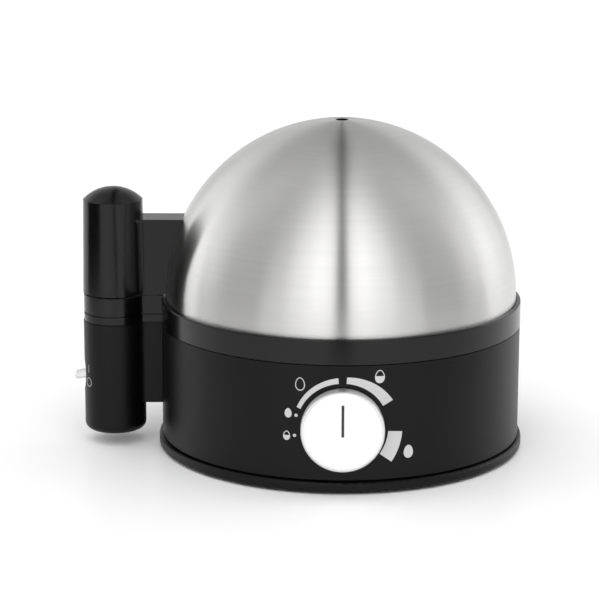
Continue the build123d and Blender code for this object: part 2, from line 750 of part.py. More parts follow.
def pointer_bar(proud):
    """The pointer's bar in the knob's face."""
    half = POINTER_WIDTH / 2
    return block(-half, half, -POINTER_TAIL, POINTER_REACH, knob_front - POINTER_DEPTH, knob_front + proud)


def knob_pointer():
    """The dark inlay in the knob's face."""
    return control * pointer_bar(0)


# Switch column


def switch_column():
    """The lower handle column and its hollow bridge, with the switch's slot in a scoop for the finger."""
    foot = disc(COLUMN_R, COLUMN_BOTTOM, bridge_bottom, column_x)
    foot = fillet(foot.edges().group_by(Axis.Z)[0], COLUMN_EDGE)
    column = prism(handle_plan(COLUMN_R, BRIDGE_WIDTH, -drum_bore_r, bridge_bottom), drum_top - bridge_bottom)
    column = column + foot - disc(drum_r, 0, drum_top + OVERCUT)
    column -= disc(column_bore_r, COLUMN_BOTTOM + COLUMN_FLOOR, drum_top + OVERCUT, column_x)
    column -= disc(cap_seat_r, drum_top - COLUMN_CAP_THICKNESS, drum_top + OVERCUT, column_x)
    column -= lead_channel(column_x, -drum_bore_r)
    column -= rod(scoop_r, (scoop_x, -COLUMN_R, SWITCH_HEIGHT), (scoop_x, COLUMN_R, SWITCH_HEIGHT))
    column -= block(
        column_x - COLUMN_R - OVERCUT,
        column_x,
        -SLOT_WIDTH / 2,
        SLOT_WIDTH / 2,
        SWITCH_HEIGHT - SLOT_HEIGHT / 2,
        SWITCH_HEIGHT + SLOT_HEIGHT / 2,
    )
    for z in column_screw_heights:
        column -= rod(
            COLUMN_SCREW_R + THREAD_GAP, (-drum_bore_r, 0, z), (-drum_r - COLUMN_SCREW_LENGTH, 0, z)
        )
    return column


def column_cap():
    """The disc that closes the column's top, flush with it."""
    return disc(cap_seat_r - FIT_GAP, drum_top - COLUMN_CAP_THICKNESS, drum_top, column_x)


def column_screws():
    """Screws from inside the drum into the column's bridge."""
    screws = []
    seat = -sqrt(drum_bore_r**2 - COLUMN_SCREW_HEAD_R**2)
    for z in column_screw_heights:
        head = rod(COLUMN_SCREW_HEAD_R, (seat + COLUMN_SCREW_HEAD, 0, z), (seat, 0, z))
        screws.append(head + rod(COLUMN_SCREW_R, (seat, 0, z), (-drum_r - COLUMN_SCREW_LENGTH, 0, z)))
    return Compound(children=screws)


def switch_body():
    """The switch's case: two cheeks that carry the rocker's pivot, and a closed back."""
    half = SWITCH_WIDTH / 2
    height = pocket_r + SWITCH_WALL
    body = block(
        switch_front_x, switch_back_x, -half, half, SWITCH_HEIGHT - height, SWITCH_HEIGHT + height
    )
    body -= pivot_rod(pocket_r, SLOT_WIDTH)
    return body - pivot_rod(PIVOT_R + RUN_GAP, SWITCH_WIDTH + 2 * OVERCUT)


def pivot_rod(radius, width):
    """A cylinder along the rocker's pivot, centred on the column."""
    return rod(radius, (pivot_x, -width / 2, SWITCH_HEIGHT), (pivot_x, width / 2, SWITCH_HEIGHT))


def switch_terminals():
    """Two blade terminals on the switch's back."""
    half = TAB_THICKNESS / 2
    tabs = []
    for z in tab_heights():
        tabs.append(
            block(switch_back_x, tab_end_x, -half, half, z - TAB_HEIGHT / 2, z + TAB_HEIGHT / 2)
        )
    return Compound(children=tabs)


def tab_heights():
    """The switch terminals' heights, the upper one first."""
    return (SWITCH_HEIGHT + TAB_PITCH / 2, SWITCH_HEIGHT - TAB_PITCH / 2)


def switch_lever():
    """The rocker on its pivot with the lever that shows, resting in the O position."""
    reach = pivot_x - (column_x - COLUMN_R - LEVER_REACH)
    half_width = LEVER_WIDTH / 2
    half_height = LEVER_THICKNESS / 2
    lever = block(-reach, 0, -half_width, half_width, -half_height, half_height)
    lever = fillet(lever.edges().filter_by(Axis.Y).group_by(Axis.X)[0], LEVER_ROUND)
    lever = Pos(pivot_x, 0, SWITCH_HEIGHT) * Rot(0, -LEVER_REST_ANGLE, 0) * lever
    lever += pivot_rod(rocker_r, rocker_width)
    return lever + pivot_rod(PIVOT_R, SWITCH_WIDTH - 2 * PIVOT_END_GAP)


# Mains inlet and leads


def cord_gland():
    """The bush where the mains cord enters, at the drum's back, with a bead that holds it in the wall."""
    y_wall = sqrt(drum_bore_r**2 - GLAND_BEAD_R**2)
    y_tail = y_wall - GLAND_TAIL
    gland = gland_rod(GLAND_R, y_tail, drum_r)
    gland += gland_rod(GLAND_FLANGE_R, drum_r, drum_r + GLAND_FLANGE)
    gland += gland_rod(GLAND_BEAD_R, y_tail, y_wall)
    return gland - gland_rod(GLAND_BORE_R, y_tail - OVERCUT, drum_r + GLAND_FLANGE + OVERCUT)


def gland_rod(radius, y0, y1):
    """A cylinder along the gland's axis."""
    return rod(radius, (0, y0, GLAND_HEIGHT), (0, y1, GLAND_HEIGHT))


def terminal_block():
    """The mains terminal block on the bottom plate, in line with the gland."""
    width, depth, height = BLOCK_SIZE
    return block(
        -width / 2, width / 2, block_y - depth / 2, block_y + depth / 2, plate_top, plate_top + height
    )


def lead(*points):
    """A lead along straight runs, with each bend as wide as its runs allow."""
    places = [Vector(p) for p in points]
    radii = []
    for before, here, after in zip(places, places[1:], places[2:]):
        run_in = here - before
        run_out = after - here
        half_turn = radians(run_in.get_angle(run_out) / 2)
        radii.append(LEAD_BEND_SHARE * min(run_in.length, run_out.length) / tan(half_turn))
    path = FilletPolyline(*places, radius=radii)
    return sweep(Plane(origin=path @ 0, z_dir=path % 0) * Circle(LEAD_R), path=path)


def routed(shares, side=1):
    """The points of a route, mirrored for side -1."""
    return [Vector(side * x * drum_bore_r, y * drum_bore_r, z * SWITCH_HEIGHT) for x, y, z in shares]


def terminal(place, out):
    """A terminal's face, and the end of the straight run that leaves it."""
    return [Vector(place), Vector(place) + Vector(out) * LEAD_STUB]


def block_terminal(index):
    """A terminal on the front of the mains block: -1 live, 0 earth, 1 neutral."""
    place = (index * BLOCK_PITCH, block_y - BLOCK_SIZE[1] / 2, plate_top + BLOCK_SIZE[2] / 2)
    return terminal(place, (0, -1, 0))


def board_terminal(index):
    """A terminal on the back of the board's connector, counted from the left."""
    from_middle = index - (CONNECTOR_WAYS - 1) / 2
    return terminal((from_middle * CONNECTOR_PITCH, connector_y, connector_z), (0, 1, 0))


def switch_terminal(index):
    """The end of a switch blade, the upper one first."""
    return terminal((tab_end_x, 0, tab_heights()[index]), (1, 0, 0))


def heater_terminal(index):
    """The lower end of a heater pin, the right one first."""
    place, away = heater_ends()[index]
    return terminal(heater_leg_foot(place, away) - Vector(0, 0, HEATER_PIN_LENGTH), (0, 0, -1))


def earth_terminal():
    """The lower end of the stud at the back."""
    stud = stud_places()[0]
    return terminal((stud.X, stud.Y, spreader_bottom - STUD_LENGTH), (0, 0, -1))


def live_lead():
    """From the mains block to the switch."""
    return lead(*block_terminal(-1), *routed(LIVE_ROUTE), *reversed(switch_terminal(0)))


def switched_lead():
    """From the switch to the board's first terminal."""
    return lead(*switch_terminal(1), *routed(SWITCHED_ROUTE), *reversed(board_terminal(0)))


def neutral_lead():
    """From the mains block to the board's last terminal."""
    return lead(*block_terminal(1), *routed(NEUTRAL_ROUTE), *reversed(board_terminal(CONNECTOR_WAYS - 1)))


def heater_lead_left():
    """From the board to the left heater pin, up from below."""
    return lead(*board_terminal(1), *routed(HEATER_ROUTE, -1), *reversed(heater_terminal(1)))


def heater_lead_right():
    """From the board to the right heater pin, up from below."""
    return lead(*board_terminal(2), *routed(HEATER_ROUTE), *reversed(heater_terminal(0)))


def earth_lead():
    """From the mains block to the stud at the back."""
    from_block = block_terminal(0)
    to_stud = earth_terminal()
    loop = [from_block[1] + Vector(EARTH_SLACK[0]), to_stud[1] + Vector(EARTH_SLACK[1])]
    return lead(*from_block, *loop, *reversed(to_stud))


# Egg tray


def tray_ring():
    """The band that carries the dome, with the ledge, the foot, the bridge and the grooved collar."""
    band = turned(
        chain(at(lip_r, band_bottom), at(band_r, band_bottom), at(band_r, band_top - BAND_EDGE))
        + [arc_about(band_r - BAND_EDGE, band_top - BAND_EDGE, BAND_EDGE, 0, 90)]
        + chain(at(band_r - BAND_EDGE, band_top), at(lip_r, band_top), at(lip_r, band_bottom))
    )
    band += ring(band_r - BAND_EDGE, ledge_inner_r, ledge_bottom, ledge_top)
    band += ring(tray_foot_r, tray_foot_inner_r, drum_top, ledge_top)
    inner_x = -band_r + TRAY_BRIDGE_LAP
    groove_bottom = collar_bottom + COLLAR_GROOVE_RISE
    groove_top = groove_bottom + COLLAR_GROOVE_WIDTH
    for bottom, top, inset in (
        (collar_bottom, groove_bottom, 0),
        (groove_bottom, groove_top, COLLAR_GROOVE_DEPTH),
        (groove_top, collar_top, 0),
    ):
        plan = handle_plan(COLLAR_R - inset, BRIDGE_WIDTH - 2 * inset, inner_x, bottom)
        band += prism(plan, top - bottom)
    band -= disc(COLLAR_R - COLLAR_WALL, collar_bottom - OVERCUT, collar_top - COLLAR_WALL, column_x)
    for place in rivet_places():
        band -= disc(RIVET_R + THREAD_GAP, ledge_bottom - OVERCUT, ledge_top + OVERCUT, place.X, place.Y)
    return band


def rivet_places():
    """The egg plate's rivets, between the outer seats."""
    return round_places(RIVETS, rivet_circle_r, start=180 / RIVETS)


def egg_seats():
    """The seats' middles: one in the centre and a ring round it."""
    return [Vector(0, 0, 0)] + round_places(OUTER_SEATS, egg_pitch_r)


def egg_plate():
    """The plate with a collared hole for each egg, and steam holes between them."""
    plate = disc(egg_plate_r, ledge_top, egg_plate_top)
    seat_bottom = egg_plate_top - EGG_SEAT_DEPTH
    for seat in egg_seats():
        plate += disc(EGG_SEAT_R + EGG_SEAT_WALL, seat_bottom, egg_plate_top, seat.X, seat.Y)
    for seat in egg_seats():
        plate -= disc(EGG_SEAT_R, seat_bottom - OVERCUT, egg_plate_top + OVERCUT, seat.X, seat.Y)
    for place in round_places(OUTER_SEATS, steam_circle_r, start=180 / OUTER_SEATS):
        plate -= disc(STEAM_HOLE_R, ledge_top - OVERCUT, egg_plate_top + OVERCUT, place.X, place.Y)
    for place in rivet_places():
        plate -= disc(RIVET_R + THREAD_GAP, ledge_top - OVERCUT, egg_plate_top + OVERCUT, place.X, place.Y)
    return plate


def tray_rivets():
    """Rivets that hold the egg plate on the tray's ledge."""
    rivets = []
    for place in rivet_places():
        rivet = disc(RIVET_R, ledge_bottom, egg_plate_top, place.X, place.Y)
        rivet += disc(RIVET_HEAD_R, egg_plate_top, egg_plate_top + RIVET_HEAD, place.X, place.Y)
        rivet += disc(RIVET_HEAD_R, ledge_bottom - RIVET_HEAD, ledge_bottom, place.X, place.Y)
        rivets.append(rivet)
    return Compound(children=rivets)


# Lid


def lid_dome():
    """The steel dome with its straight skirt, the steam vent and holes for the handle's screws."""
    outer_top = dome_z + sqrt(DOME_R**2 - VENT_R**2)
    inner_top = dome_z + sqrt(dome_inner_r**2 - VENT_R**2)
    half = sin(radians(45))
    dome = turned(
        [
            ThreePointArc(
                at(VENT_R, outer_top), at(DOME_R * half, dome_z + DOME_R * half), at(DOME_R, dome_z)
            )
        ]
        + chain(
            at(DOME_R, dome_z), at(DOME_R, ledge_top), at(dome_inner_r, ledge_top), at(dome_inner_r, dome_z)
        )
        + [
            ThreePointArc(
                at(dome_inner_r, dome_z),
                at(dome_inner_r * half, dome_z + dome_inner_r * half),
                at(VENT_R, inner_top),
            )
        ]
        + chain(at(VENT_R, inner_top), at(VENT_R, outer_top))
    )
    for angle in lid_screw_angles:
        dome -= lid_screw_rod(LID_SCREW_R + HOLE_GAP, angle, dome_inner_r - OVERCUT, DOME_R + OVERCUT)
    return dome


def lid_screw_rod(radius, angle, start, end):
    """A cylinder along a lid screw, between two distances from the dome's centre."""
    out = Vector(-cos(radians(angle)), 0, sin(radians(angle)))
    centre = Vector(0, 0, dome_z)
    return rod(radius, centre + out * start, centre + out * end)


def lid_handle():
    """The upper handle column with its bridge, which ends on the dome."""
    share = LID_BRIDGE_HEIGHT / HANDLE_HEIGHT
    bridge_top_r = HANDLE_R - (HANDLE_R - HANDLE_TOP_R) * share
    inner_x = LID_BRIDGE_LAP - sqrt(DOME_R**2 - (lid_bridge_top - dome_z) ** 2)
    handle = loft(
        [
            handle_plan(HANDLE_R, BRIDGE_WIDTH, inner_x, handle_bottom),
            handle_plan(bridge_top_r, BRIDGE_WIDTH, inner_x, lid_bridge_top),
        ],
        ruled=True,
    )
    top = Cone(
        bridge_top_r,
        HANDLE_TOP_R,
        handle_top - lid_bridge_top,
        align=(Align.CENTER, Align.CENTER, Align.MIN),
    )
    handle += Pos(column_x, 0, lid_bridge_top) * top
    lip_width = BRIDGE_WIDTH + 2 * LIP_OVERHANG
    lip_bottom = lid_bridge_top - LIP_HEIGHT
    handle += prism(handle_plan(HANDLE_TOP_R, lip_width, inner_x, lip_bottom), LIP_HEIGHT)
    handle -= Pos(0, 0, dome_z) * Sphere(DOME_R)
    handle -= disc(HANDLE_TOP_R - HANDLE_WALL, handle_bottom + HANDLE_FLOOR, handle_top + OVERCUT, column_x)
    for angle in lid_screw_angles:
        handle -= lid_screw_rod(
            LID_SCREW_R + THREAD_GAP, angle, DOME_R - OVERCUT, DOME_R + LID_SCREW_LENGTH
        )
    return handle


def handle_cap():
    """The domed cap on the handle, with a spigot in its bore."""
    ball_r = (HANDLE_TOP_R**2 + CAP_RISE**2) / (2 * CAP_RISE)
    ball = Pos(column_x, 0, handle_top + CAP_RISE - ball_r) * Sphere(ball_r)
    cap = ball & disc(HANDLE_R, handle_top, handle_top + CAP_RISE + OVERCUT, column_x)
    return cap + disc(HANDLE_TOP_R - HANDLE_WALL - FIT_GAP, handle_top - CAP_SPIGOT, handle_top, column_x)


def washer_seat():
    """How far from the dome's centre a flat washer's rim meets the dome's inside."""
    return sqrt(dome_inner_r**2 - WASHER_R**2)


def lid_washers():
    """Washers under the lid screws' heads, inside the dome."""
    washers = []
    for angle in lid_screw_angles:
        washer = lid_screw_rod(WASHER_R, angle, washer_seat() - WASHER_THICKNESS, washer_seat())
        washers.append(washer - lid_screw_rod(LID_SCREW_R + THREAD_GAP, angle, 0, DOME_R))
    return Compound(children=washers)


def lid_screws():
    """Screws from inside the dome into the handle's bridge."""
    seat = washer_seat() - WASHER_THICKNESS
    screws = []
    for angle in lid_screw_angles:
        screw = lid_screw_rod(LID_SCREW_HEAD_R, angle, seat - LID_SCREW_HEAD, seat)
        screws.append(screw + lid_screw_rod(LID_SCREW_R, angle, seat, DOME_R + LID_SCREW_LENGTH))
    return Compound(children=screws)


NODES = {
    "base_housing": base_housing(),
    "bottom_plate": bottom_plate(),
    "foot_ring": foot_ring(),
    "base_screws": base_screws(),
    "heating_dish": heating_dish(),
    "dish_seal": dish_seal(),
    "heat_spreader": heat_spreader(),
    "heater_element": heater_element(),
    "heater_terminals": heater_terminals(),
    "dish_studs": dish_studs(),
    "dish_straps": dish_straps(),
    "dish_nuts": dish_nuts(),
    "thermostat": thermostat(),
    "thermostat_bracket": thermostat_bracket(),
    "thermostat_screws": thermostat_screws(),
    "thermal_fuse": thermal_fuse(),
    "control_board": control_board(),
    "board_screws": board_screws(),
    "potentiometer": potentiometer(),
    "relay": relay(),
    "buzzer": buzzer(),
    "board_connector": board_connector(),
    "control_shaft": control_shaft(),
    "knob": knob(),
    "knob_pointer": knob_pointer(),
    "switch_column": switch_column(),
    "column_cap": column_cap(),
    "column_screws": column_screws(),
    "switch_body": switch_body(),
    "switch_terminals": switch_terminals(),
    "switch_lever": switch_lever(),
    "cord_gland": cord_gland(),
    "terminal_block": terminal_block(),
    "live_lead": live_lead(),
    "switched_lead": switched_lead(),
    "neutral_lead": neutral_lead(),
    "heater_lead_left": heater_lead_left(),
    "heater_lead_right": heater_lead_right(),
    "earth_lead": earth_lead(),
    "tray_ring": tray_ring(),
    "egg_plate": egg_plate(),
    "tray_rivets": tray_rivets(),
    "lid_dome": lid_dome(),
    "lid_handle": lid_handle(),
    "handle_cap": handle_cap(),
    "lid_washers": lid_washers(),
    "lid_screws": lid_screws(),
}

os.makedirs("parts", exist_ok=True)
for name, shape in NODES.items():
    export_step(shape, f"parts/{name}.step")
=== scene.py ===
"""Looks of the electric egg cooker: finishes, printed marks, studio and camera."""

import json
import math

import bmesh
import bpy
from mathutils import Euler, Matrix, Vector


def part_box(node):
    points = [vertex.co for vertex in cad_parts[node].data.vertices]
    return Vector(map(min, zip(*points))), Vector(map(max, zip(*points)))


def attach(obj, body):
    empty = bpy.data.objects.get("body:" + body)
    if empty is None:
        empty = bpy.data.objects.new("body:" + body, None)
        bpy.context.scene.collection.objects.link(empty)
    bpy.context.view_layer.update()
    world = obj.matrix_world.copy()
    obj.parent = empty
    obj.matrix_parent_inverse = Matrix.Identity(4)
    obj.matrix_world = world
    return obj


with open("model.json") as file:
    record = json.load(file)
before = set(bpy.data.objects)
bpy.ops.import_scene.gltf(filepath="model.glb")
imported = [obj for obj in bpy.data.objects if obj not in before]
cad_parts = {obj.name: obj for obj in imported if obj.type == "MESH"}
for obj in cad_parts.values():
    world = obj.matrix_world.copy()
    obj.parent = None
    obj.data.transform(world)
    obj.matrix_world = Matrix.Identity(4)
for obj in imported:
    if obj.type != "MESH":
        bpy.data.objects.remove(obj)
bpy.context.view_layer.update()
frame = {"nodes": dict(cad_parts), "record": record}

MM = 0.001

# Camera: where it stands, and where its target falls in the photograph
IMAGE_SIDE = 600
SENSOR = 36.0
LENS = 149.2
TARGET = Vector((0, 0, 0.080))
TARGET_PIXEL = (340.9, 285.9)
DISTANCE = 1.243
ELEVATION = math.radians(13.29)
AZIMUTH = math.radians(-0.8)
ROLL = math.radians(0.39)

# Studio: brightness of the room by angle from the camera's side (share of half a turn)
ROOM = (
    (0.0, 0.0),
    (0.008, 0.0),
    (0.034, 1.85),
    (0.090, 2.00),
    (0.160, 1.60),
    (0.240, 0.98),
    (0.310, 0.65),
    (0.440, 0.68),
    (0.580, 1.50),
    (0.670, 1.75),
    (0.770, 1.34),
    (0.880, 0.78),
    (1.0, 0.70),
)
# Overhead: brightness of the middle gap and of its two sides, and how far across the gap reaches
OVERHEAD = (0.06, 0.56)
OVERHEAD_GAP = (0.02, 0.12)
# Elevations, as shares of a right angle, over which the room fades to that: in front, and behind
FRONT_FADE = (0.55, 1.0)
BACK_FADE = (0.12, 0.58)
# Where the front's fade gives way to the back's, as a direction's share along Y
BEHIND = (-0.1, 0.4)
SUN_STRENGTH = 0.8
SUN_ANGLE = math.radians(80)
FLOOR_SIDE = 12.0
# The table's grey as it lights the object, and as the camera and reflections see it
FLOOR_SHADE = 0.80
FLOOR_WHITE = 1.0
FLOOR_ROUGHNESS = (0.30, 0.34)
FLOOR_SPECULAR = 0.12
FLOOR_HAZE = 0.2
# Dark cloths that lie beside the set: near and far edges, and ends along Y as shares of those
CLOTH_X = (0.46, 3.0)
CLOTH_ENDS = (-0.78, 0.22)
# Dark strip that lies in front of the set: half its width, and ends along Y
STRIP_X = 0.042
STRIP_Y = (-1.30, -0.37)
CLOTH_Z = 0.0005
CLOTH_SHADES = (0.012, 0.02)
CLOTH_WEAVE = 0.004

# Printed marks, in mm
PRINT_LIFT = 0.06
PRINT_SINK = 0.05
PRINT_WELD = 0.002
ARC_INNER = 21.8
# Start and end clockwise from straight up in degrees, and width at each
ARCS = (
    (-66, -5, 2.05, 2.75),
    (4.5, 61, 3.1, 5.45),
    (95, 126, 6.95, 7.2),
)
EGG_SIZE = (4.67, 6.43)
SMALL_EGG_SIZE = (3.42, 4.6)
EGG_LINE = 0.42
EGG_POINT = 0.13
SOFT_EGG = (-20.2, 21.0)
MEDIUM_EGG = (17.45, 24.9)
HARD_EGG = (31.9, -12.7)
SMALL_HARD_EGG = (-25.95, 6.55)
SMALL_MEDIUM_EGG = (-26.7, -4.55)
MEDIUM_LEVEL = 0.08
DOTS = ((-22.1, 5.63), (-22.8, -4.28))
DOT_R = 0.8
SWITCH_MARK_ANGLE = math.radians(35.5)
ON_MARK_Z = 39.0
ON_MARK = (0.5, 4.0)
OFF_MARK_Z = 32.2
OFF_MARK = (4.6, 4.8)
OFF_LINE = 0.5

# Finishes
BLACK = (0.0014, 0.0014, 0.0015, 1)
STEEL = (0.60, 0.597, 0.59, 1)
# Painted shade: the vent's bore is coloured this dark, out to VENT_EDGE from the dome's axis
VENT_SHADE = (0.012, 0.012, 0.011, 1)
VENT_EDGE = 3.15 * MM
# Plastic and rubber: colour, roughness, size and depth of the grain in mm, and specular level
MOULDED = {
    "satin_black": (BLACK, 0.40, 0.7, 0.04, 0.20),
    "gloss_black": (BLACK, 0.20, 1.8, 0.006, 0.34),
    "foot_rubber": ((0.02, 0.02, 0.02, 1), 0.75, 0.9, 0.08, 0.3),
    "seal_silicone": ((0.30, 0.30, 0.29, 1), 0.6, 0.9, 0.04, 0.5),
    "thermostat_case": ((0.05, 0.025, 0.015, 1), 0.45, 0.6, 0.03, 0.5),
    "fuse_case": ((0.75, 0.72, 0.66, 1), 0.4, 0.6, 0.02, 0.5),
    "terminal_plastic": ((0.72, 0.71, 0.67, 1), 0.4, 0.8, 0.03, 0.5),
    "component_black": ((0.014, 0.014, 0.015, 1), 0.4, 0.7, 0.03, 0.5),
    "relay_blue": ((0.03, 0.10, 0.32, 1), 0.35, 0.7, 0.02, 0.5),
    "pointer_black": ((0.02, 0.02, 0.022, 1), 0.4, 0.5, 0.02, 0.5),
    "lead_brown": ((0.10, 0.035, 0.015, 1), 0.45, 0.8, 0.03, 0.5),
    "lead_black": ((0.012, 0.012, 0.012, 1), 0.45, 0.8, 0.03, 0.5),
    "lead_blue": ((0.02, 0.08, 0.35, 1), 0.45, 0.8, 0.03, 0.5),
    "lead_white": ((0.72, 0.71, 0.68, 1), 0.45, 0.8, 0.03, 0.5),
    "print_white": ((0.61, 0.61, 0.61, 1), 0.5, 0.4, 0.01, 0.4),
    "print_grey": ((0.30, 0.30, 0.30, 1), 0.5, 0.4, 0.01, 0.4),
}
PATCH_SIZE = 25 * MM
# Rolled or drawn metal: colour and roughness
ROLLED = {
    "fixing_steel": ((0.60, 0.60, 0.585, 1), 0.32),
    "spreader_aluminium": ((0.78, 0.785, 0.79, 1), 0.42),
    "heater_sheath": ((0.22, 0.205, 0.19, 1), 0.5),
    "terminal_brass": ((0.72, 0.55, 0.25, 1), 0.3),
}
LINE_SIZE = 1.2 * MM
LINE_STRETCH = 6.0
STAIN_SIZE = 12 * MM
# Fine lines in metal: their depth, and how strongly it shows
LINE_DEPTH = 0.01 * MM
LINE_STRENGTH = 0.5
# Brushed steel: how quickly lines and streaks change round the axis, and how many lines a streak spans
LINES_AROUND = 5.0
STREAKS_AROUND = 1.5
LINES_PER_STREAK = 9
SMUDGE_SIZE = 30 * MM
SMUDGE_SHARE = 0.35


# Node helpers


def node(tree, kind, inputs=None, **settings):
    """Adds a node; an input is a value or another node's output."""
    made = tree.nodes.new(kind)
    for name, value in settings.items():
        setattr(made, name, value)
    for name, value in (inputs or {}).items():
        if isinstance(value, bpy.types.NodeSocket):
            tree.links.new(value, made.inputs[name])
        else:
            made.inputs[name].default_value = value
    return made


def math_node(tree, operation, first, second=0.0):
    """A Math node's output."""
    return node(tree, "ShaderNodeMath", {0: first, 1: second}, operation=operation).outputs[0]


def vector_node(tree, operation, inputs, output=0):
    """A Vector Math node's output."""
    return node(tree, "ShaderNodeVectorMath", inputs, operation=operation).outputs[output]


def spread(tree, value, low, high):
    """A 0 to 1 value mapped between low and high."""
    return node(tree, "ShaderNodeMapRange", {"Value": value, "To Min": low, "To Max": high}).outputs[0]


def uneven(tree, value, rough, swing=0.15):
    """A roughness that swings with a 0 to 1 value."""
    return spread(tree, value, rough * (1 - swing), rough * (1 + swing))


def blend(tree, share, first, second):
    """A colour between two others."""
    mix = node(tree, "ShaderNodeMix", data_type="RGBA")
    sockets = {s.identifier: s for s in mix.inputs}
    for name, value in (("Factor_Float", share), ("A_Color", first), ("B_Color", second)):
        if isinstance(value, bpy.types.NodeSocket):
            tree.links.new(value, sockets[name])
        else:
            sockets[name].default_value = value
    return {s.identifier: s for s in mix.outputs}["Result_Color"]


def grey(value):
    """A neutral colour."""
    return (value, value, value, 1)


def scaled(colour, factor):
    """A colour made lighter or darker."""
    return (*[min(c * factor, 1) for c in colour[:3]], 1)


def mottled(tree, share, colour, low, high):
    """A colour that runs between a darker and a lighter shade of itself."""
    return blend(tree, share, scaled(colour, low), scaled(colour, high))


def noise(tree, place, size, detail=2.0, roughness=0.5):
    """Noise whose grains are about size metres across."""
    made = node(
        tree,
        "ShaderNodeTexNoise",
        {"Vector": place, "Scale": 1 / size, "Detail": detail, "Roughness": roughness},
    )
    return made.outputs[0]


def new_material(name):
    """A material with a Principled shader, its node tree and its object coordinates."""
    material = bpy.data.materials.new(name)
    material.use_nodes = True
    tree = material.node_tree
    shader = tree.nodes["Principled BSDF"]
    place = node(tree, "ShaderNodeTexCoord").outputs["Object"]
    return material, tree, shader, place


def feed(tree, shader, **links):
    """Links values to a shader's sockets, named with underscores."""
    for name, value in links.items():
        tree.links.new(value, shader.inputs[name.replace("_", " ")])


def bump(tree, height, depth, strength=1.0):
    """A normal from a height, depth metres deep."""
    made = node(tree, "ShaderNodeBump", {"Height": height, "Distance": depth, "Strength": strength})
    return made.outputs[0]


# Finishes by kind


def moulded(name, colour, rough, grain, depth, specular):
    """Moulded plastic or rubber: fine grain, slightly uneven gloss and shade."""
    material, tree, shader, place = new_material(name)
    patches = noise(tree, place, PATCH_SIZE, detail=3)
    grains = noise(tree, place, grain * MM, roughness=0.6)
    feed(
        tree,
        shader,
        Base_Color=mottled(tree, patches, colour, 0.88, 1.12),
        Roughness=uneven(tree, blend(tree, grains, grey(0.2), grey(0.8)), rough),
        Normal=bump(tree, grains, depth * MM),
    )
    shader.inputs["Specular IOR Level"].default_value = specular
    return material


def from_axis(tree, place):
    """The part of a place that lies across the Z axis, and its length."""
    flat = vector_node(tree, "MULTIPLY", {0: place, 1: (1, 1, 0)})
    return flat, vector_node(tree, "LENGTH", {0: flat}, "Value")


def turned_place(tree, place, centre_z, around, along):
    """Coordinates that run slowly round the Z axis and fast along a meridian."""
    flat, radius = from_axis(tree, place)
    ring = vector_node(tree, "NORMALIZE", {0: flat})
    turn = vector_node(tree, "SCALE", {0: ring, "Scale": around})
    z = node(tree, "ShaderNodeSeparateXYZ", {0: place}).outputs["Z"]
    angle = math_node(tree, "ARCTAN2", math_node(tree, "SUBTRACT", z, centre_z), radius)
    rise = node(tree, "ShaderNodeCombineXYZ", {"Z": math_node(tree, "MULTIPLY", angle, along)}).outputs[0]
    return vector_node(tree, "ADD", {0: turn, 1: rise})


def brushed(name, colour, rough, centre_z, anisotropy, lines, bore=0.0):
    """Steel brushed round the vertical axis: fine lines, streaks, faint smudges, and painted shade in the
    bore near the axis.
    """
    material, tree, shader, place = new_material(name)
    line_place = turned_place(tree, place, centre_z, LINES_AROUND, lines)
    streak_place = turned_place(tree, place, centre_z, STREAKS_AROUND, lines / LINES_PER_STREAK)
    fine = noise(tree, line_place, 1.0, detail=3, roughness=0.6)
    streaks = noise(tree, streak_place, 1.0)
    smudges = noise(tree, place, SMUDGE_SIZE, detail=4)
    tone = math_node(tree, "MULTIPLY", math_node(tree, "ADD", fine, streaks), 0.5)
    # Painted shade: steel nearer the axis than bore is coloured dark, standing in for the shade inside the
    # vent's bore
    vent_shade = math_node(tree, "LESS_THAN", from_axis(tree, place)[1], bore)
    feed(
        tree,
        shader,
        Base_Color=blend(tree, vent_shade, mottled(tree, tone, colour, 0.90, 1.08), VENT_SHADE),
        Roughness=uneven(tree, blend(tree, SMUDGE_SHARE, fine, smudges), rough),
        Normal=bump(tree, fine, LINE_DEPTH, LINE_STRENGTH),
        Tangent=node(tree, "ShaderNodeTangent", direction_type="RADIAL", axis="Z").outputs[0],
    )
    shader.inputs["Metallic"].default_value = 1
    shader.inputs["Anisotropic"].default_value = anisotropy
    shader.inputs["Anisotropic Rotation"].default_value = 0.25
    return material


def rolled(name, colour, rough):
    """Rolled or drawn metal: fine lines one way, uneven gloss."""
    material, tree, shader, place = new_material(name)
    along = node(tree, "ShaderNodeMapping", {"Vector": place, "Scale": (1, 1 / LINE_STRETCH, 1)}).outputs[0]
    lines = noise(tree, along, LINE_SIZE, detail=3, roughness=0.6)
    stain = noise(tree, place, STAIN_SIZE, detail=3)
    feed(
        tree,
        shader,
        Base_Color=mottled(tree, stain, colour, 0.85, 1.1),
        Roughness=uneven(tree, lines, rough, 0.25),
        Normal=bump(tree, lines, LINE_DEPTH, LINE_STRENGTH),
    )
    shader.inputs["Metallic"].default_value = 1
    return material


def lacquered(name, colour, rough):
    """Silver lacquer on plastic: metal-like, with fine flakes."""
    material, tree, shader, place = new_material(name)
    flakes = noise(tree, place, 0.3 * MM, detail=1)
    patches = noise(tree, place, 20 * MM)
    feed(
        tree,
        shader,
        Base_Color=mottled(tree, flakes, colour, 0.94, 1.04),
        Roughness=uneven(tree, patches, rough, 0.1),
        Normal=bump(tree, flakes, 0.004 * MM, 0.5),
    )
    shader.inputs["Metallic"].default_value = 1
    return material


def frosted(name, colour, rough):
    """Clear plastic with a faintly cloudy surface."""
    material, tree, shader, place = new_material(name)
    clouds = noise(tree, place, 1.5 * MM)
    feed(
        tree,
        shader,
        Base_Color=mottled(tree, clouds, colour, 0.95, 1.03),
        Roughness=uneven(tree, clouds, rough, 0.2),
    )
    shader.inputs["Transmission Weight"].default_value = 0.75
    shader.inputs["IOR"].default_value = 1.49
    return material


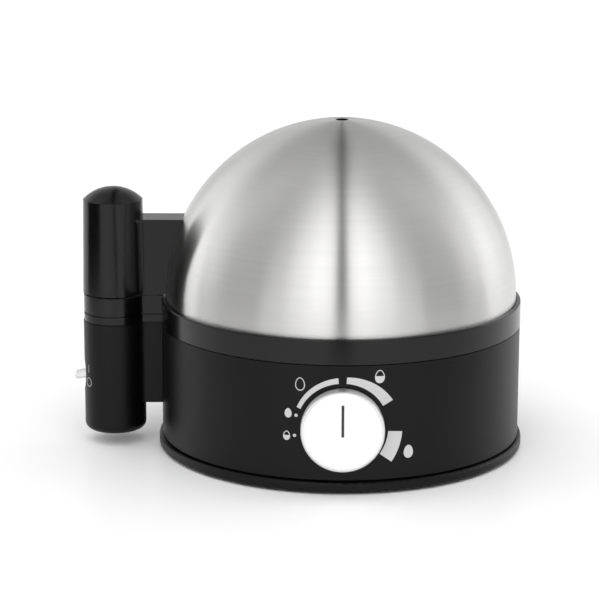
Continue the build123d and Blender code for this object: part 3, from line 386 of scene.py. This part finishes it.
def striped(name, first, second, rough):
    """Two-coloured lead insulation: slanted stripes."""
    material, tree, shader, place = new_material(name)
    wave = node(
        tree,
        "ShaderNodeTexWave",
        {"Vector": place, "Scale": 90.0, "Distortion": 1.0},
        bands_direction="DIAGONAL",
    ).outputs[1]
    share = node(tree, "ShaderNodeValToRGB", {"Fac": wave})
    share.color_ramp.elements[0].position = 0.55
    share.color_ramp.elements[1].position = 0.60
    grains = noise(tree, place, 0.8 * MM)
    feed(
        tree,
        shader,
        Base_Color=blend(tree, share.outputs[0], first, second),
        Roughness=uneven(tree, grains, rough),
        Normal=bump(tree, grains, 0.02 * MM),
    )
    return material


def board(name):
    """Circuit board: green mask over copper tracks."""
    material, tree, shader, place = new_material(name)
    pattern = {"Color1": grey(1), "Color2": grey(1), "Mortar": grey(0), "Mortar Size": 0.06}
    tracks = node(tree, "ShaderNodeTexBrick", {"Vector": place, "Scale": 120.0, **pattern}).outputs[1]
    weave = noise(tree, place, 0.7 * MM)
    feed(
        tree,
        shader,
        Base_Color=blend(tree, tracks, (0.004, 0.06, 0.018, 1), (0.012, 0.12, 0.04, 1)),
        Roughness=spread(tree, weave, 0.3, 0.42),
        Normal=bump(tree, tracks, 0.04 * MM, 0.4),
    )
    return material


dome_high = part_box("lid_dome")[1]
dome_centre_z = dome_high.z - dome_high.x

FINISHES = {name: moulded(name, *values) for name, values in MOULDED.items()}
FINISHES.update((name, rolled(name, *values)) for name, values in ROLLED.items())
FINISHES.update(
    dome_steel=brushed("dome_steel", STEEL, 0.29, dome_centre_z, 1.0, 420.0, VENT_EDGE),
    dish_steel=brushed("dish_steel", (0.66, 0.655, 0.64, 1), 0.34, 0.0, 0.5, 900.0),
    board_green=board("board_green"),
    knob_silver=lacquered("knob_silver", (0.92, 0.92, 0.92, 1), 0.48),
    lever_pale=frosted("lever_pale", (0.93, 0.93, 0.93, 1), 0.12),
    lead_green_yellow=striped("lead_green_yellow", (0.04, 0.30, 0.06, 1), (0.75, 0.60, 0.03, 1), 0.45),
)

for part in frame["record"]["subparts"]:
    for slot in frame["nodes"][part["node"]].material_slots:
        slot.material = FINISHES[part["material_slot"]]


# Printed marks


def strip(first, second, columns):
    """Rows of points from each point of one line to its partner on another."""
    return [
        [(a[0] + (b[0] - a[0]) * i / columns, a[1] + (b[1] - a[1]) * i / columns) for i in range(columns + 1)]
        for a, b in zip(first, second)
    ]


def arc(start, end, width_start, width_end):
    """A curved bar of changing width round the knob."""
    steps = 40
    inner = []
    outer = []
    for i in range(steps + 1):
        share = i / steps
        angle = math.radians(start + (end - start) * share)
        reach = ARC_INNER + width_start + (width_end - width_start) * share
        inner.append((ARC_INNER * math.sin(angle), ARC_INNER * math.cos(angle)))
        outer.append((reach * math.sin(angle), reach * math.cos(angle)))
    return strip(inner, outer, columns=3)


def egg_line(centre, size, angles, inset=0.0):
    """Points on an egg's outline, pointed at the top."""
    half_width = size[0] / 2 - inset
    half_height = size[1] / 2 - inset
    return [
        (
            centre[0] + half_width * math.cos(a) * (1 - EGG_POINT * math.sin(a)),
            centre[1] + half_height * math.sin(a),
        )
        for a in angles
    ]


def egg_fill(centre, size, level=1.0, inset=0.0):
    """An egg filled from its bottom up to a level between -1 and 1."""
    steps = 24
    top = math.asin(level)
    rows = [-math.pi / 2 + (top + math.pi / 2) * i / steps for i in range(steps + 1)]
    right = egg_line(centre, size, rows, inset)
    left = egg_line(centre, size, [math.pi - a for a in rows], inset)
    return strip(left, right, columns=4)


def egg_ring(centre, size, line):
    """An egg's outline of an even width."""
    steps = 48
    angles = [2 * math.pi * i / steps for i in range(steps + 1)]
    return strip(egg_line(centre, size, angles, line), egg_line(centre, size, angles), columns=1)


def bar(centre, size):
    """An upright bar."""
    steps = 4
    left = [(centre[0] - size[0] / 2, centre[1] + size[1] * (i / steps - 0.5)) for i in range(steps + 1)]
    right = [(x + size[0], y) for x, y in left]
    return strip(left, right, columns=1)


def dot(centre, radius):
    """A round dot."""
    steps = 16
    rows = [-math.pi / 2 + math.pi * i / steps for i in range(steps + 1)]
    left = [(centre[0] - radius * math.cos(a), centre[1] + radius * math.sin(a)) for a in rows]
    right = [(centre[0] + radius * math.cos(a), centre[1] + radius * math.sin(a)) for a in rows]
    return strip(left, right, columns=4)


def printed(name, strips, wall, ink):
    """A thin raised print: strips laid on a wall, which maps a mark's point and lift to a place."""
    mesh = bmesh.new()
    for rows in strips:
        base = [[mesh.verts.new(wall(point, -PRINT_SINK)) for point in row] for row in rows]
        face = [[mesh.verts.new(wall(point, PRINT_LIFT)) for point in row] for row in rows]
        for i in range(len(rows) - 1):
            last = len(rows[i]) - 1
            for j in range(last):
                mesh.faces.new((face[i][j], face[i][j + 1], face[i + 1][j + 1], face[i + 1][j]))
                mesh.faces.new((base[i][j], base[i + 1][j], base[i + 1][j + 1], base[i][j + 1]))
            mesh.faces.new((base[i][0], face[i][0], face[i + 1][0], base[i + 1][0]))
            mesh.faces.new((base[i][last], base[i + 1][last], face[i + 1][last], face[i][last]))
        for i in (0, len(rows) - 1):
            for j in range(len(rows[i]) - 1):
                mesh.faces.new((base[i][j], base[i][j + 1], face[i][j + 1], face[i][j]))
    bmesh.ops.remove_doubles(mesh, verts=mesh.verts, dist=PRINT_WELD * MM)
    bmesh.ops.recalc_face_normals(mesh, faces=mesh.faces)
    data = bpy.data.meshes.new(name)
    mesh.to_mesh(data)
    mesh.free()
    data.materials.append(ink)
    made = bpy.data.objects.new(name, data)
    bpy.context.scene.collection.objects.link(made)
    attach(made, "base")


drum_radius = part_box("base_housing")[1].x
knob_low, knob_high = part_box("knob")
knob_z = (knob_low.z + knob_high.z) / 2
column_low, column_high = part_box("switch_column")
column_radius = column_high.y
column_x = column_low.x + column_radius


def on_drum(point, lift):
    """A mark's point, in mm right of and above the knob's axis, on the drum's wall."""
    angle = point[0] * MM / drum_radius
    radius = drum_radius + lift * MM
    return (radius * math.sin(angle), -radius * math.cos(angle), knob_z + point[1] * MM)


def on_column(point, lift):
    """A mark's point, in mm right of its own middle and above the floor, on the switch column's wall."""
    angle = SWITCH_MARK_ANGLE + point[0] * MM / column_radius
    radius = column_radius + lift * MM
    return (column_x - radius * math.cos(angle), -radius * math.sin(angle), point[1] * MM)


scale = [arc(*each) for each in ARCS]
scale.append(egg_ring(SOFT_EGG, EGG_SIZE, EGG_LINE))
scale.append(egg_ring(MEDIUM_EGG, EGG_SIZE, EGG_LINE))
scale.append(egg_fill(MEDIUM_EGG, EGG_SIZE, MEDIUM_LEVEL, EGG_LINE))
scale.append(egg_fill(HARD_EGG, EGG_SIZE))
scale.append(egg_fill(SMALL_HARD_EGG, SMALL_EGG_SIZE))
scale.append(egg_ring(SMALL_MEDIUM_EGG, SMALL_EGG_SIZE, EGG_LINE))
scale.append(egg_fill(SMALL_MEDIUM_EGG, SMALL_EGG_SIZE, MEDIUM_LEVEL, EGG_LINE))
scale.extend(dot(each, DOT_R) for each in DOTS)
printed("cooking_scale", scale, on_drum, FINISHES["print_white"])
switch_marks = [bar((0, ON_MARK_Z), ON_MARK), egg_ring((0, OFF_MARK_Z), OFF_MARK, OFF_LINE)]
printed("switch_marks", switch_marks, on_column, FINISHES["print_grey"])


# Studio


def fade(tree, value, limits):
    """A smooth step from 0 to 1 between two limits."""
    made = node(
        tree,
        "ShaderNodeMapRange",
        {"Value": value, "From Min": limits[0], "From Max": limits[1]},
        interpolation_type="SMOOTHSTEP",
    )
    return made.outputs[0]


def studio():
    """A light tent: bright panels beside the camera and behind the object, greyer sides and top."""
    world = bpy.data.worlds.new("studio")
    world.use_nodes = True
    tree = world.node_tree
    split = node(tree, "ShaderNodeSeparateXYZ", {0: node(tree, "ShaderNodeTexCoord").outputs["Generated"]})
    towards = math_node(tree, "MULTIPLY", split.outputs["Y"], -1)
    turn = math_node(tree, "ABSOLUTE", math_node(tree, "ARCTAN2", split.outputs["X"], towards))
    ramp = node(tree, "ShaderNodeValToRGB", {"Fac": math_node(tree, "DIVIDE", turn, math.pi)})
    stops = ramp.color_ramp
    stops.interpolation = "EASE"
    for _ in range(len(ROOM) - len(stops.elements)):
        stops.elements.new(0.5)
    for stop, (place, level) in zip(stops.elements, ROOM):
        stop.position = place
        stop.color = grey(level)
    height = math_node(tree, "DIVIDE", math_node(tree, "ARCSINE", split.outputs["Z"]), math.pi / 2)
    behind = fade(tree, split.outputs["Y"], BEHIND)
    up = blend(tree, behind, fade(tree, height, FRONT_FADE), fade(tree, height, BACK_FADE))
    across = fade(tree, math_node(tree, "ABSOLUTE", split.outputs["X"]), OVERHEAD_GAP)
    ceiling = blend(tree, across, grey(OVERHEAD[0]), grey(OVERHEAD[1]))
    light = tree.nodes["Background"]
    tree.links.new(blend(tree, up, ramp.outputs[0], ceiling), light.inputs["Color"])
    bpy.context.scene.world = world

    lamp = bpy.data.lights.new("overhead", "SUN")
    lamp.energy = SUN_STRENGTH
    lamp.angle = SUN_ANGLE
    overhead = bpy.data.objects.new("overhead", lamp)
    overhead.visible_glossy = False
    bpy.context.scene.collection.objects.link(overhead)


def cloths():
    """Dark cloths on the table, out of the picture, which only reflections show, and only from above."""
    material, tree, shader, place = new_material("cloth")
    weave = noise(tree, place, CLOTH_WEAVE)
    feed(tree, shader, Base_Color=blend(tree, weave, grey(CLOTH_SHADES[0]), grey(CLOTH_SHADES[1])))
    shader.inputs["Specular IOR Level"].default_value = 0
    under = node(tree, "ShaderNodeNewGeometry").outputs["Backfacing"]
    clear = node(tree, "ShaderNodeBsdfTransparent").outputs[0]
    sides = node(tree, "ShaderNodeMixShader", {0: under, 1: shader.outputs[0], 2: clear})
    tree.links.new(sides.outputs[0], tree.nodes["Material Output"].inputs["Surface"])
    outlines = {"cloth_front": [(x, y) for y in STRIP_Y for x in (-STRIP_X, STRIP_X)]}
    for side, name in ((-1, "cloth_left"), (1, "cloth_right")):
        outlines[name] = [(side * x, x * end) for end in CLOTH_ENDS[::side] for x in CLOTH_X]
    for name, outline in outlines.items():
        data = bpy.data.meshes.new(name)
        data.from_pydata([(x, y, CLOTH_Z) for x, y in outline], [], [(0, 1, 3, 2)])
        data.materials.append(material)
        made = bpy.data.objects.new(name, data)
        made.visible_camera = False
        made.visible_diffuse = False
        made.visible_shadow = False
        bpy.context.scene.collection.objects.link(made)


def floor():
    """A plain pale table with a faint sheen."""
    mesh = bmesh.new()
    bmesh.ops.create_grid(mesh, x_segments=4, y_segments=4, size=FLOOR_SIDE / 2)
    data = bpy.data.meshes.new("floor")
    mesh.to_mesh(data)
    mesh.free()
    made = bpy.data.objects.new("floor", data)
    bpy.context.scene.collection.objects.link(made)
    material, tree, shader, place = new_material("table")
    ray = node(tree, "ShaderNodeLightPath").outputs
    seen = math_node(tree, "MAXIMUM", ray["Is Camera Ray"], ray["Is Glossy Ray"])
    seen = math_node(tree, "MAXIMUM", seen, ray["Is Transmission Ray"])
    haze = noise(tree, place, FLOOR_HAZE)
    feed(
        tree,
        shader,
        Base_Color=blend(tree, seen, grey(FLOOR_SHADE), grey(FLOOR_WHITE)),
        Roughness=spread(tree, haze, *FLOOR_ROUGHNESS),
    )
    shader.inputs["Specular IOR Level"].default_value = FLOOR_SPECULAR
    data.materials.append(material)


def camera():
    """The photograph's viewpoint, with the target turned to its place in the frame."""
    data = bpy.data.cameras.new("camera")
    data.lens = LENS
    data.sensor_width = SENSOR
    data.sensor_fit = "HORIZONTAL"
    made = bpy.data.objects.new("camera", data)
    level = math.cos(ELEVATION)
    away = Vector((math.sin(AZIMUTH) * level, -math.cos(AZIMUTH) * level, math.sin(ELEVATION)))
    made.location = TARGET + DISTANCE * away
    focal = LENS / SENSOR * IMAGE_SIDE
    pan = math.atan((TARGET_PIXEL[0] - IMAGE_SIDE / 2) / focal)
    tilt = math.atan((TARGET_PIXEL[1] - IMAGE_SIDE / 2) / focal)
    facing = (-away).to_track_quat("-Z", "Y")
    turn = Euler((tilt, pan, ROLL), "XYZ").to_quaternion()
    made.rotation_mode = "QUATERNION"
    made.rotation_quaternion = facing @ turn
    bpy.context.scene.collection.objects.link(made)
    bpy.context.scene.camera = made


studio()
cloths()
floor()
camera()
bpy.context.scene.view_settings.view_transform = "Standard"
